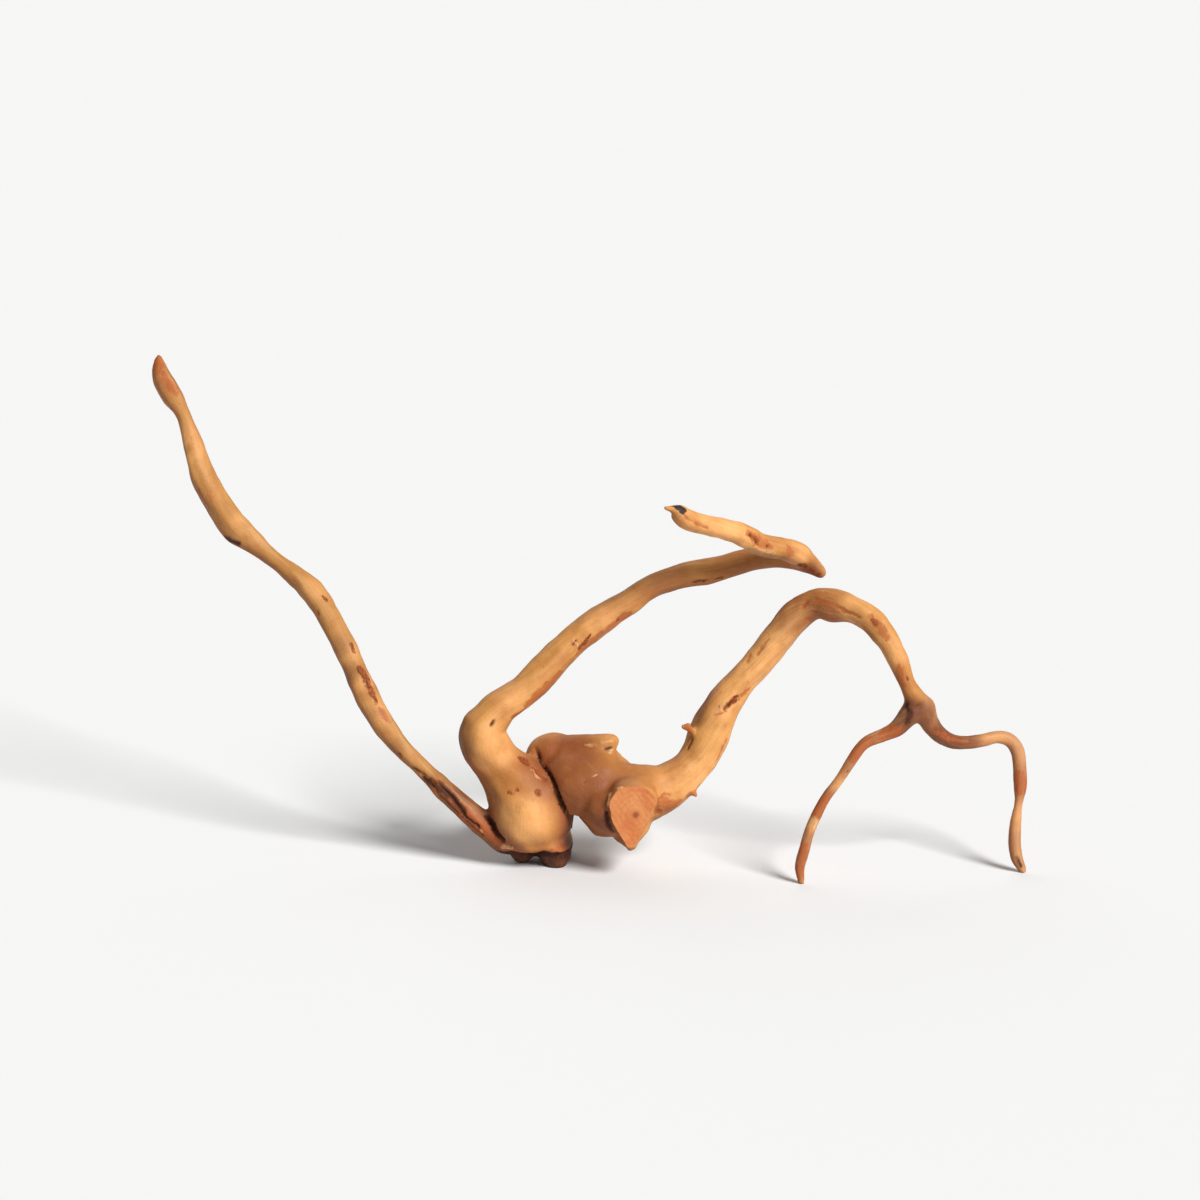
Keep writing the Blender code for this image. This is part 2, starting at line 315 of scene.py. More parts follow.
def outward_of(points):
    """Unit normals of the skin at the given places of its points."""
    root_mesh.vertices.foreach_set("co", (points * MM).ravel())
    root_mesh.update()
    normals = np.empty(count * 3)
    root_mesh.vertex_normals.foreach_get("vector", normals)
    return normals.reshape(-1, 3)


def nearest_limbs(points):
    """For each point: nearness to every limb in radii, and its place along and across the nearest limb."""
    nearness, along = [], []
    for name, stations in LIMBS.items():
        line = smooth_line(stations)
        middle, radius = line[:, :3], line[:, 3] / 2
        run = np.concatenate([[0], np.cumsum(np.linalg.norm(np.diff(middle, axis=0), axis=1))])
        tangent = np.gradient(middle, axis=0)
        tangent /= np.linalg.norm(tangent, axis=1)[:, None]
        side = [np.cross(tangent[0], (0.3, 0.9, 0.2))]
        for direction in tangent[1:]:
            side.append(side[-1] - direction * (side[-1] @ direction))
        side = np.array(side) / np.linalg.norm(side, axis=1)[:, None]
        over = np.cross(tangent, side)
        best = np.full(count, np.inf)
        which = np.zeros(count, int)
        for start in range(0, count, 8000):
            part = points[start:start + 8000]
            ratio = np.linalg.norm(part[:, None] - middle[None], axis=2) / radius
            which[start:start + 8000] = ratio.argmin(axis=1)
            best[start:start + 8000] = ratio.min(axis=1)
        offset = points - middle[which]
        place = np.stack([(offset * side[which]).sum(1), (offset * over[which]).sum(1),
                          run[which] + (offset * tangent[which]).sum(1)], axis=1)
        nearness.append(best)
        along.append(np.column_stack([place, radius[which], tangent[which]]))
    return np.array(nearness), np.array(along)


# The crotches between limbs are filled and rounded by growth, but the fold between the burl's two lobes
# is not. The burl's back is one rounded mass.
FORK = (165, -38, 88)  # mm, where the arch divides into its legs
SHARPENED = -0.53      # one pass the other way, which gives back the girth that the smoothing took
BACK_PASSES = 70
FOLD = [(-30, -8, 57), (-26.5, -15, 54.5), (-22.5, -21.5, 51), (-18.5, -26.5, 46.5), (-14.5, -31, 42), (-11, -34, 38),
        (-8, -35.5, 34), (-6, -35, 29), (-4.6, -31, 23)]


def distance_to(points, path, outward=None):
    """Distance from each point to a path of straight stretches, and the share of the path walked there.

    With the skin's outward normals it is measured along the skin: up to 2.5 mm in or out costs nothing."""
    path = np.array(path, float)
    if len(path) == 1:
        path = np.vstack([path, path + 0.01])
    nearest = np.full(len(points), np.inf)
    walked = np.zeros(len(points))
    for number, (start, end) in enumerate(zip(path, path[1:])):
        step = end - start
        t = np.clip(((points - start) @ step) / (step @ step), 0, 1)
        offset = points - start - t[:, None] * step
        gap = np.linalg.norm(offset, axis=1)
        if outward is not None:
            through = (offset * outward).sum(1)
            gap = np.hypot(np.sqrt(np.maximum(gap ** 2 - through ** 2, 0)), 2 * np.maximum(abs(through) - 2.5, 0))
        closer = gap < nearest
        nearest[closer] = gap[closer]
        walked[closer] = (number + t[closer]) / (len(path) - 1)
    return nearest, walked


nearness, along = nearest_limbs(skin_at)
order = np.sort(nearness, axis=0)
crotch = fade(order[1], 1.25, 2.2) * ramp(distance_to(skin_at, FOLD)[0], 5, 11)
crotch = smoothed(crotch[:, None], 4)
skin_at = smoothed(skin_at, 3)
skin_at = smoothed(skin_at, 1, SHARPENED)
at_fork = fade(away_from(FORK), 11, 17)[:, None]
skin_at = smoothed(skin_at, 9, 0.5 * crotch)
at_back = ramp(skin_at[:, 1], -10, 0) * fade(abs(skin_at[:, 0] + 8), 36, 46) * fade(skin_at[:, 2], 60, 72)
skin_at = smoothed(skin_at, BACK_PASSES, 0.5 * at_back[:, None])
skin_at = smoothed(skin_at, 12, 0.6 * at_fork)


# ==== What growing, drying and cleaning left on the root ====
# Folds, slits, scars, torn stubs and bark.
# Each mark is sunk or raised in the wood itself, and its finish is kept as a share on the skin.
# Finish, half width, depth (above 0 sunk, below 0 raised), then the path: all in millimetres.
# The darkest finish is painted shade in pits, slits, grooves, hollows and the fork, with some dark stain.
MARKS = [
    # burl, left lobe: pits, a torn scar beside the fold, and the hollow under the whip's foot
    ("dark", 0.9, 1.1, [(-48.2, -26, 74.8), (-46.6, -26, 77)]),
    ("bark", 2.2, 0.5, [(-32.5, -24.5, 57.5), (-30, -25, 54.6)]),
    ("bark", 1.6, 0.6, [(-27, -25.9, 52.6), (-21, -27, 46.6)]),
    ("pale", 0.8, -0.3, [(-29, -26.5, 50.5), (-24, -27.8, 46)]),
    ("bark", 0.9, 0.6, [(-39.4, -34.5, 42.2), (-37.4, -34.7, 41.8)]),
    ("bark", 0.9, 0.5, [(-34.9, -34.7, 43.8), (-34, -34.7, 43.3)]),
    ("bark", 1.2, 0.6, [(-25.2, -33.7, 42.6), (-23.4, -33.7, 40.8)]),
    ("dark", 2.3, 2.2, [(-50.4, -25.4, 27), (-45.9, -28.1, 21.4), (-42, -30.6, 15.8)]),
    ("red", 1.4, 0.0, [(-38, -30, 10.6), (-24, -32, 10.2), (-10, -29, 11)]),
    ("pale", 1.1, -0.4, [(-42.6, -28.6, 11.8), (-37.7, -31.7, 11.3)]),
    ("pale", 0.9, -0.3, [(-54.4, -28.5, 20.6), (-53, -28.5, 19)]),
    # burl, right lobe: scratches, torn wood by the corner, flakes and the slit by the sawn face
    ("pale", 0.9, -0.3, [(-0.5, -19.4, 62.6), (4.2, -20.5, 63)]),
    ("pale", 0.8, -0.4, [(7, -20.8, 64.9), (9.2, -20.9, 64.2)]),
    ("pale", 0.8, -0.4, [(11, -20.8, 65), (13.6, -20.4, 65.4)]),
    ("dark", 0.8, 1.2, [(9.4, -21.8, 61.3), (13.2, -20.8, 61.6)]),
    ("pale", 0.8, -0.3, [(9.6, -22, 59.8), (14, -21, 60.3)]),
    ("red", 2.4, 0.0, [(52.6, -23.4, 70.6), (49.6, -24.4, 73)]),
    ("pale", 0.35, 0.2, [(2.6, -35.6, 50.6), (5.4, -35, 51.8)]),
    ("bark", 0.6, 0.4, [(-1, -35.8, 47.4), (0.4, -36, 47.8)]),
    ("pale", 1.0, -0.6, [(9.4, -43.4, 46.6), (10.8, -46, 43.4), (10.8, -47, 39)]),
    ("pale", 1.1, -0.7, [(13.4, -45.4, 48.4), (17.4, -46, 48.6)]),
    ("dark", 1.9, 1.6, [(9.8, -46, 35), (10.4, -45.6, 29), (12.4, -44, 22.4)]),
    ("red", 1.9, 1.0, [(34.3, -36.8, 41), (34.8, -35.8, 36), (36, -33, 30)]),
    ("red", 3.4, 0.0, [(38, -33.5, 38), (42, -31.7, 34.3), (46, -30, 36)]),
    ("red", 2.2, 0.0, [(50, -28, 37.6), (60, -23.5, 43)]),
    ("red", 1.0, 0.5, [(36.8, -34.8, 39.5), (39.4, -34.4, 41.6), (42.2, -33.4, 40.4)]),
    # limb that crooks over: knots, bark left along its underside, brown streaks
    ("red", 3.3, 0.2, [(-30, -19, 83.6), (-21, -17, 90.5), (-13, -14, 98.6)]),
    ("red", 2.7, 0.2, [(-4, -10.6, 107.6), (3, -8.8, 113.6), (8, -7.2, 117.6)]),
    ("bark", 1.0, 0.7, [(-7, -12, 113.4), (-4.8, -11.4, 114.8)]),
    ("pale", 0.8, -0.5, [(-6.4, -12.4, 115.4), (-4.4, -11.6, 112.4)]),
    ("bark", 1.0, 0.5, [(-4.6, -9.9, 110.4), (1.4, -8.6, 117.4)]),
    ("red", 2.5, 0.3, [(10, -6.4, 119), (17, -4.4, 124), (22, -2.8, 127)]),
    ("red", 1.6, 0.0, [(-38, -20, 78), (-30, -18.4, 81.4)]),
    ("bark", 0.7, 0.6, [(14.4, -3.6, 123.8), (15.6, -3.4, 124.8)]),
    ("bark", 0.8, 0.2, [(53.5, 6.5, 141), (61.2, 6.6, 142.6)]),
    ("bark", 1.0, 0.5, [(66, 7.4, 142.2), (69, 7.4, 142.6)]),
    # hook: a burnt patch by the broken end, a seam, an oval scar and the reddish head
    ("char", 2.7, 0.3, [(42.6, -43, 191.4), (45.4, -43.6, 190.4), (48.4, -43.6, 188.2)]),
    ("char", 1.3, 0.2, [(46.6, -45, 188.6), (47.6, -45.4, 186.4)]),
    ("red", 0.8, 0.5, [(48.2, -44.4, 185.4), (50.8, -42.9, 182.8)]),
    ("red", 0.8, 0.5, [(50.8, -42.9, 182.8), (54.3, -40.3, 180.3), (60, -35.6, 177)]),
    ("red", 3.0, 0.7, [(81, -21, 171.4), (86, -17.6, 167.8), (92, -13.4, 163)]),
    ("bark", 1.6, 0.9, [(82, -20.6, 171), (86, -17.6, 167.4)]),
    ("dark", 0.8, 0.9, [(84.4, -18.6, 167), (86, -17.8, 165.6)]),
    ("dark", 0.8, 0.9, [(90.4, -14.6, 164), (91.4, -14, 163.4)]),
    ("pale", 0.9, -0.5, [(84, -18, 164), (88.6, -14.6, 161.8), (94, -10.6, 160.4)]),
    ("red", 1.8, 0.0, [(101.8, -8, 162), (102.4, -7.5, 158.6)]),
    ("red", 2.4, 0.0, [(99, 0, 149.6), (107.7, -2, 149.6), (114, -1, 146.8)]),
    ("bark", 1.9, 0.15, [(107.6, -2.8, 152.8), (111, -1.8, 150.6)]),
    ("bark", 1.7, 0.15, [(113.4, -0.9, 148.6), (117.6, 0, 146.4)]),
    # whip: reddish tip, bark flakes along one side, the long twisted groove up from the foot
    ("red", 2.2, 0.2, [(-217.2, 41.3, 243.6), (-213.2, 42.8, 236.2), (-210.8, 43.8, 233)]),
    ("red", 3.0, 0.0, [(-219, 41.4, 251), (-220.6, 41.2, 245)]),
    ("dark", 1.7, 0.6, [(-184.6, 29.5, 161), (-178.4, 26.6, 157.4)]),
    ("red", 1.4, 0.0, [(-191, 34, 169), (-185, 30.5, 162)]),
    ("red", 1.0, 0.3, [(-198.6, 38, 184), (-196, 37, 180)]),
    ("bark", 0.8, 0.3, [(-134, 5, 135), (-132, 4.6, 132.8)]),
    ("bark", 0.8, 0.5, [(-137, 2.4, 128), (-136.2, 2.4, 126.4)]),
    ("bark", 0.9, -0.3, [(-119.6, -4, 112), (-118, -5.4, 109.6), (-117, -6, 106.6)]),
    ("bark", 1.8, -0.35, [(-114.8, -8.4, 100), (-112.8, -9.7, 97), (-110.6, -11.4, 93.8)]),
    ("bark", 1.5, -0.35, [(-110.2, -11.8, 92.4), (-107.6, -13.2, 87.4), (-106.4, -13.8, 84.2)]),
    ("red", 1.5, 0.0, [(-104.4, -14.2, 80.4), (-101, -15, 74)]),
    ("bark", 0.6, 0.3, [(-94.9, -18, 58), (-94.1, -18, 56.4)]),
    ("bark", 0.8, 0.9, [(-88.5, -19, 50.7), (-81.8, -21.4, 47.7), (-75.2, -22.9, 43.9)]),
    ("dark", 1.2, 1.6, [(-75.2, -22.9, 43.9), (-69.1, -25.1, 38.2), (-65, -27, 31.9), (-60, -28, 25.9),
                        (-54.9, -28.7, 21.9)]),
    ("dark", 1.9, 0.8, [(-82, -20, 45.5), (-74, -23, 41), (-66, -26.4, 35.5), (-61.5, -28, 29.5)]),
    ("red", 4.4, 0.0, [(-68, -26, 36), (-59, -28, 26), (-49, -28, 20), (-40, -28.6, 11.4)]),
    ("bark", 0.6, 0.8, [(-78, -20.8, 42.6), (-70, -24, 34), (-62, -26, 26.4), (-52, -27, 17)]),
    # arch: the notch with its torn lip, scratches, and the long seam over the top
    ("bark", 1.4, 2.2, [(69.8, -20.8, 81.8), (73, -19.4, 84.6), (76, -17.6, 87.2)]),
    ("dark", 0.8, 0.6, [(71.6, -20, 83.2), (74.6, -18.4, 85.8)]),
    ("red", 0.8, 0.6, [(63.5, -24, 80.2), (69.6, -22.4, 80.6)]),
    ("pale", 1.2, -0.5, [(65.4, -23.2, 82), (69.4, -21.6, 86)]),
    ("red", 1.2, 0.4, [(78, -16.8, 88), (82, -15, 92)]),
    ("red", 2.4, 0.0, [(58.6, -13.6, 82), (63.5, -9.7, 89.1)]),
    ("red", 0.9, 0.4, [(85.8, -15.4, 108.6), (88.3, -15.2, 112.2), (91.3, -15.3, 116.3)]),
    ("red", 1.1, 0.3, [(82.4, -13.2, 108.1), (80.8, -14.3, 104.7)]),
    ("bark", 0.9, 0.4, [(52.4, -23.4, 67), (50.6, -24.6, 62.6)]),
    ("red", 1.1, 0.0, [(72, -22.4, 66), (66.5, -24.4, 55)]),
    ("red", 0.9, 0.7, [(113.6, -20, 138.4), (120.5, -23.9, 137.5), (126.3, -26.7, 135.2), (131.2, -28.8, 133),
                        (135.9, -31.2, 131.6)]),
    ("red", 1.2, 0.6, [(109, -19.6, 138.6), (108.4, -18.6, 132.8)]),
    ("red", 1.4, 0.5, [(110.4, -17, 128.4), (116.4, -17.8, 127)]),
    ("red", 2.3, 0.2, [(141.6, -32.8, 132), (145.6, -35.4, 127), (148.6, -37, 122)]),
    ("bark", 1.4, 0.2, [(142.4, -33.6, 131), (144.4, -34.8, 128.6)]),
    ("bark", 0.8, 0.6, [(159.1, -40.4, 103.4), (160, -40.6, 102)]),
    ("red", 1.8, 0.0, [(155, -39, 108), (157, -40.6, 99)]),
    ("dark", 1.7, 0.3, [(159, -41, 88.6), (160.2, -42.2, 85), (158.6, -43, 80)]),
    # legs: bands where the thin inner bark is still on
    ("red", 4.0, 0.0, [(154, -42.4, 76.6), (147.6, -43.6, 73.6)]),
    ("red", 4.0, 0.0, [(141, -44.6, 71), (132.6, -46.2, 63.4)]),
    ("dark", 0.7, 0.3, [(130.2, -48, 56.8), (129.8, -47.9, 56)]),
    ("red", 4.0, 0.0, [(119.6, -49.9, 43.2), (115.2, -50.9, 35.8)]),
    ("pale", 2.0, 0.0, [(113.2, -51.6, 33.2), (112, -51.8, 29.4)]),
    ("red", 2.4, 0.0, [(109, -52.6, 20), (107.4, -53.8, 12)]),
    ("red", 3.4, 0.0, [(106, -53.6, 9), (105.4, -53, 3.6)]),
    ("red", 1.0, 0.4, [(172, -37.6, 76), (182, -32.6, 69.4), (192, -26.4, 66.8)]),
    ("red", 3.4, 0.0, [(218.6, -21.4, 48), (219, -23.6, 40.6)]),
    ("dark", 1.2, 0.2, [(216.8, -35.2, 8), (219.4, -35.6, 3.4)]),
    # the side away from the sawn face, marked as the near side is
    ("bark", 1.4, 0.4, [(-33, -4, 89), (-21.5, -1, 99)]), ("red", 2.4, 0.2, [(3, 6.5, 121), (19, 9.5, 130.5)]),
    ("bark", 0.8, 0.6, [(63, 19, 146), (78, 18.6, 150.5)]), ("red", 3.0, 0.2, [(76, -1.3, 91), (86.5, -0.3, 103)]),
    ("bark", 1.0, 0.6, [(96.5, 0, 116), (105.5, -2, 127.5)]), ("bark", 1.3, 0.6, [(-24, 14, 34), (-16, 14, 24)]),
    ("bark", 1.2, 0.4, [(-129, 10.7, 120), (-119, 3.7, 101)]),
    ("red", 2.2, 0.1, [(-200, 50, 193.5), (-193, 46.3, 180)]),
    ("dark", 1.0, 0.8, [(18, 7, 44), (12, 8, 38)]), ("bark", 0.8, 0.6, [(-50, -5, 66), (-47, -5, 54)]),
]
# Broad, soft changes of tone: a place, how far it reaches, and how ruddy or how fair the wood is there.
# The ruddy areas are reddish-brown wood, except those beside the fold and low on the left lobe, which are
# painted shade.
RUDDY_TONE_AND_PAINTED_SHADE = [
    # The first three places, beside the fold in the shade of the right lobe, and (-47, -26, 10) are painted shade.
    ((-8, -27, 28), 11, 1.0), ((-7, -27, 14), 12, 1.0), ((-9, -30, 40), 9, 0.9), ((103, -6, 157), 6, 0.7),
    ((-12, -24, 54), 24, 1.0), ((4, -36, 36), 24, 0.95), ((0, -38, 18), 18, 1.0), ((14, -34, 16), 14, 0.9),
    ((-20, -26, 60), 10, 0.7), ((-47, -26, 10), 15, 0.8), ((-22, -28, 10), 12, 0.5),
    ((108, -14, 126), 16, 0.55), ((122, -20, 128), 14, 0.4), ((164, -40, 80), 12, 0.7),
    ((150, -43, 74), 16, 0.6), ((184, -30, 66), 22, 1.0), ((109, -1, 147), 11, 0.6),
    ((118, -22, 131), 13, 0.85), ((132, -46, 62), 14, 0.6), ((117, -50, 40), 12, 0.7),
    ((219, -20, 40), 14, 0.5), ((216, -30, 16), 20, 0.4), ((109, -50, 20), 18, 0.5), ((-214, 43, 242), 12, 0.5),
    ((12, -2, 125), 14, 0.35), ((-112, -9, 92), 12, 0.3), ((-64, -26, 30), 20, 0.8), ((42, 6, 142), 15, 0.6),
    ((102, -12, 132), 13, 0.65), ((28, 0, 135), 7, 0.3), ((-40, -14, 90), 8, 0.3), ((84, 6, 150), 14, 0.45),
    ((62, -10, 84), 10, 0.6),
]
FAIR = [
    ((-113, -11, 94), 6, 0.8), ((66, -26, 176), 28, 1.0), ((106, 0, 159), 9, 0.8), ((-30, -36, 28), 13, 0.8),
    ((-46, -26, 66), 14, 0.6), ((-36, -20, 86), 13, 0.6), ((8, -6, 124), 9, 0.5), ((86, -14, 104), 27, 1.0),
    ((56, -28, 50), 15, 0.9), ((44, -28, 46), 10, 0.6), ((134, -28, 134), 9, 0.7), ((151, -36, 114), 9, 0.8),
    ((126, -48, 52), 6, 0.8), ((112.5, -52, 30.5), 4, 0.9), ((217, -28, 28), 8, 0.7), ((206, -18, 66), 8, 0.6),
    ((-205, 40, 205), 14, 0.6), ((-122, -6, 108), 10, 0.5), ((-104, -15, 82), 9, 0.6), ((70, -22, 82), 6, 0.8),
    ((-140, 8, 138), 8, 0.4), ((-176, 28, 166), 9, 0.5), ((22, 0, 130), 8, 0.3), ((74, -24, 66), 9, 0.5),
]
# Painted shade, browner: inside the fold and the fork, and down the sides away from the light.
PAINTED_SHADE_AREAS = [
    ((-67, -22, 62), 12, 0.8), ((-66, -20, 73), 10, 0.6), ((-125, -2, 110), 7, 0.5), ((-120, -6, 97), 7, 0.5),
    ((-109, -12, 77), 6, 0.45), ((-97, -15, 60), 6, 0.5), ((-50, -27, 22), 9, 0.6), ((54, -16, 84), 8, 0.35),
    ((99, -6, 134), 8, 0.3), ((92, -2, 124), 9, 0.3), ((48, -16, 52), 5, 0.3), ((-110, 2, 92), 9, 0.3),
    ((-4, -25, 22), 10, 0.9), ((-5, -26, 34), 7, 0.8), ((-6, -22, 10), 9, 0.9), ((-63, -16, 66), 8, 0.6),
    ((-61, -16, 54), 7, 0.4), ((160, -42, 86), 8, 1.0), ((157, -43, 78), 7, 0.8), ((168, -42, 84), 8, 0.6),
    ((-66, -25, 33), 10, 0.8), ((-54, -26, 22), 11, 0.8), ((-46, -28, 14), 10, 0.7), ((-52, -32, 38), 8, 0.5),
    ((-43, -32, 18), 7, 0.4), ((8, -44, 30), 8, 0.5), ((8, -34, 42), 20, 0.25), ((186, -28, 67), 14, 0.75),
    ((176, -33, 74), 9, 0.7), ((114, -1, 148), 6, 0.7), ((58, -22, 78), 6, 0.4), ((-74, -18, 44), 8, 0.3),
]

# Where the root was sawn, and where it stands, it is flat.
SAWN_AT, SAWN_OUT = np.array([22.2, -47.1, 30.9]), np.array([0.2, -0.95, 0.12])
SAWN_OUT /= np.linalg.norm(SAWN_OUT)
PITH = np.array([24.7, -46.2, 33.8])
STUB_MIDDLE, STUB_REACH = 22, 28    # mm
x, y, z = skin_at.T    # these three follow the skin while it is moved below
by_stub = away_from(SAWN_AT) < STUB_REACH
beyond = (skin_at - SAWN_AT) @ SAWN_OUT
narrow = ramp(beyond, -20, -8) * by_stub * fade(z, 17, 36)
x -= 0.5 * narrow * (x - STUB_MIDDLE)
sawn = ramp(beyond, -0.4, 0.1) * by_stub
skin_at -= np.outer(np.where(by_stub & (beyond > 0), beyond, 0), SAWN_OUT)
z[:] = np.maximum(z, 0)

# Between the lobes the right one is hollowed from below, up to the fold.
HOLLOW_HIGH = 9        # mm
to_limb = dict(zip(LIMBS, nearness))
hollow = fade(z, 21, 31) * fade(x, -8, 5) * ramp(x, -15, -9) * (to_limb["arch"] < to_limb["crook"])
z += HOLLOW_HIGH * hollow

# The burl's lower edge overhangs its feet: the wood below the lip is set back.
LIP_HIGH, LIP_BUMP, LIP_WAVE, LIP_OVERHANG = 9.7, 0.8, 0.25, 3.6    # mm
lip_at = LIP_HIGH + LIP_BUMP * np.exp(-((x + 20) / 5) ** 2) + LIP_WAVE * np.sin(x * 0.83 + 1) - z
below_lip = ramp(lip_at, -0.2, 1.0) * ramp(z, 0, 5) * fade(y, -22, -8) * (ramp(x, -44, -38) * fade(x, -10, -4))
y += LIP_OVERHANG * below_lip
feet = ramp(lip_at, -0.2, 0.8) * ramp(x, -50, -44) * fade(x, -6, 2)
lip = fade(lip_at, -0.6, 0.2) * ramp(lip_at, -4, -1) * fade(y, -27, -20) * (ramp(x, -42, -36) * fade(x, -10, -6))

# The straightened limb under each point carries the wood's grain, which winds slowly round.
GRAIN_TWIST = -0.016                  # radians each mm along a limb
LIMB_TURN, LIMB_APART = 1.3, 400.0    # radians and mm from one limb's grain to the next one's
picked = nearness.argmin(axis=0)
grain = along[picked, np.arange(count)]
turn = GRAIN_TWIST * grain[:, 2] + LIMB_TURN * picked
grain = np.column_stack([grain[:, 0] * np.cos(turn) - grain[:, 1] * np.sin(turn),
                         grain[:, 0] * np.sin(turn) + grain[:, 1] * np.cos(turn),
                         grain[:, 2] + LIMB_APART * picked, grain[:, 3:]])
settled = ramp(order[1] - order[0], 0.0, 0.5) * (1 - 0.65 * ramp(grain[:, 3], 9, 15))


# One seed for the offsets of noise_vector, so that every run frays the edges in the same way.
noise.seed_set(7)


def noise_on(points, reach):
    """Smooth noise from -1 to 1 at each point; reach is the size of its features."""
    return np.array([noise.noise(Vector(point)) for point in points / np.array(reach, float)])


def warped(points, reach, far):
    """The points carried up to far millimetres aside by noise, so that outlines drawn there run ragged."""
    return points + far * np.array([noise.noise_vector(Vector(point)) for point in points / reach])


# A finish is 0.5 at its edge and changes by 0.2 each millimetre, so that its edge can be frayed again.
normals = outward_of(skin_at)
ragged_at = warped(warped(skin_at, 3.2, 1.1), 1.4, 0.5)
finish = {name: np.zeros(count) for name in ("bark", "dark", "red", "pale", "char")}
# Painted shade on the feet, darker further in under the overhanging lip.
finish["dark"] = feet * (0.5 + 0.3 * fade(lip_at, 2, 6))
SHRUNK, LIP_PROUD = 0.25, 0.45    # mm: how far the drying drew the skin in, and how far the lip stands out
lift = -SHRUNK + LIP_PROUD * lip
for name, half_width, depth, path in MARKS:
    gap, walked = distance_to(skin_at + (ragged_at - skin_at) * min(1.0, half_width / 1.6), path, normals)
    widest = half_width
    if len(path) > 1:
        half_width = half_width * (0.5 + 0.5 * np.sin(np.pi * np.clip(0.1 + 0.8 * walked, 0, 1)))
    within = half_width - gap
    finish[name] = np.maximum(finish[name], np.clip(0.5 + 0.2 * within * max(1, 1.3 / widest), 0, 1))
    lift -= depth * ramp(within, -0.5, np.minimum(1.3, half_width))

# The fold: the two lobes press together along the line as near to one as to the other.
LOBE_RADIUS = 19       # mm, which turns nearness in radii into millimetres
nearer = (to_limb["crook"] - to_limb["arch"]) * LOBE_RADIUS
between_lobes = abs(nearer - 2.5 * fade(z, 44, 54))
fold_gap, fold_walked = distance_to(skin_at, FOLD)
pressed = fade(fold_gap, 4, 7) * fade(between_lobes, 0.2, 2.0) * ramp(fold_walked, 0.0, 0.15)
lift -= (1.6 + 1.6 * ramp(fold_walked, 0.25, 0.5) + 2.8 * ramp(fold_walked, 0.7, 1)) * pressed
# Painted shade down the fold where the lobes press together.
finish["dark"] = np.maximum(finish["dark"], np.clip(0.1 + 0.75 * pressed, 0, 1))

# Long fibres and broad dents everywhere but on the sawn face, which has saw lines and rings: heights in mm.
FIBRE_HIGH, DENT_HIGH, SAW_LINE_HIGH, RING_HIGH = 0.14, 0.75, 0.07, 0.03
SAW_STROKE = np.array([0.76, 0.24, 0.6])    # across the lines that the blade left
fibres = noise_on(grain[:, :3], (2.6, 2.6, 34)) + 0.6 * noise_on(grain[:, :3] + 50, (5.5, 5.5, 60))
dents = noise_on(skin_at + 90, 15) + 0.45 * noise_on(skin_at + 30, 6.5)
lift += (FIBRE_HIGH * fibres * settled + DENT_HIGH * dents) * (1 - sawn) * ramp(grain[:, 3], 1.5, 6)
saw_lines = np.sin(((skin_at - SAWN_AT) @ SAW_STROKE) * 2.4 + 2 * noise_on(skin_at, 9))
rings = np.sin(away_from(PITH) * 2.0)
lift += sawn * (SAW_LINE_HIGH * saw_lines + RING_HIGH * rings)
normals = outward_of(skin_at)
skin_at = skin_at + normals * lift[:, None]
skin_at[:, 2] = np.maximum(skin_at[:, 2], 0)


def evened(share, passes):
    """A share on the skin, spread a little so that it ends softly."""
    return smoothed(share.astype(float)[:, None], passes)[:, 0]


def soft_areas(areas):
    """The strongest of the areas at each point."""
    level = np.zeros(count)
    for place, reach, share in areas:
        level = np.maximum(level, share * fade(away_from(place), 0.45 * reach, 1.35 * reach))
    return evened(level, 6)


normals = outward_of(skin_at)
limb_names = np.array(list(LIMBS))[picked]
shares = {
    **finish, "sawn": sawn,
    # Reddish tone that is partly painted shade, and painted shade over the listed areas and on the feet under the lip.
    "ruddy": soft_areas(RUDDY_TONE_AND_PAINTED_SHADE), "fair": soft_areas(FAIR), "shady": np.maximum(soft_areas(PAINTED_SHADE_AREAS), feet),
    "rosy": evened(np.isin(limb_names, ["near_leg", "far_leg"]), 12),
    "ochre": evened(limb_names == "whip", 12),
    # painted shade on faces turned down and to the left, away from the key light
    "under": evened(ramp(normals @ np.array((-0.5, 0.1, -0.86)), -0.15, 0.95), 4),
    "settled": settled,
}

root_mesh.vertices.foreach_set("co", (skin_at * MM).ravel())
root_mesh.materials.clear()
root_mesh.materials.append(wood)
for polygon in root_mesh.polygons:
    polygon.use_smooth = True
for name, values in shares.items():
    root_mesh.attributes.new(name, "FLOAT", "POINT").data.foreach_set("value", values)
for name, columns in (("grain", grain[:, :3]), ("fibre_way", grain[:, 4:])):
    root_mesh.attributes.new(name, "FLOAT_VECTOR", "POINT").data.foreach_set("vector", columns.ravel())
root_mesh.update()
driftwood = in_scene("driftwood", root_mesh)
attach(driftwood, "root")
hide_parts("driftwood_root")


# ==== The wood's finish ====
# Bare, dry and hand-peeled, never oiled: tan with a soft satin, with painted shade underneath, down the sides
# away from the light, in the fold and round the burl, and with fine lengthwise fibres and scraps of the thin red inner
# bark.


def colour(code):
    """An sRGB hex colour as the linear values a shader takes."""
    parts = [int(code[i:i + 2], 16) / 255 for i in (1, 3, 5)]
    return (*[c / 12.92 if c <= 0.04045 else ((c + 0.055) / 1.055) ** 2.4 for c in parts], 1)


def emptied(material):
    """The material's shader tree without the nodes it starts with."""
    material.use_nodes = True
    material.node_tree.nodes.clear()
    return material.node_tree


tree = emptied(wood)
place = add(tree, "ShaderNodeTexCoord").outputs["Object"]
share = {name: add(tree, "ShaderNodeAttribute", attribute_name=name).outputs["Fac"] for name in shares}
run = add(tree, "ShaderNodeAttribute", attribute_name="grain").outputs["Vector"]


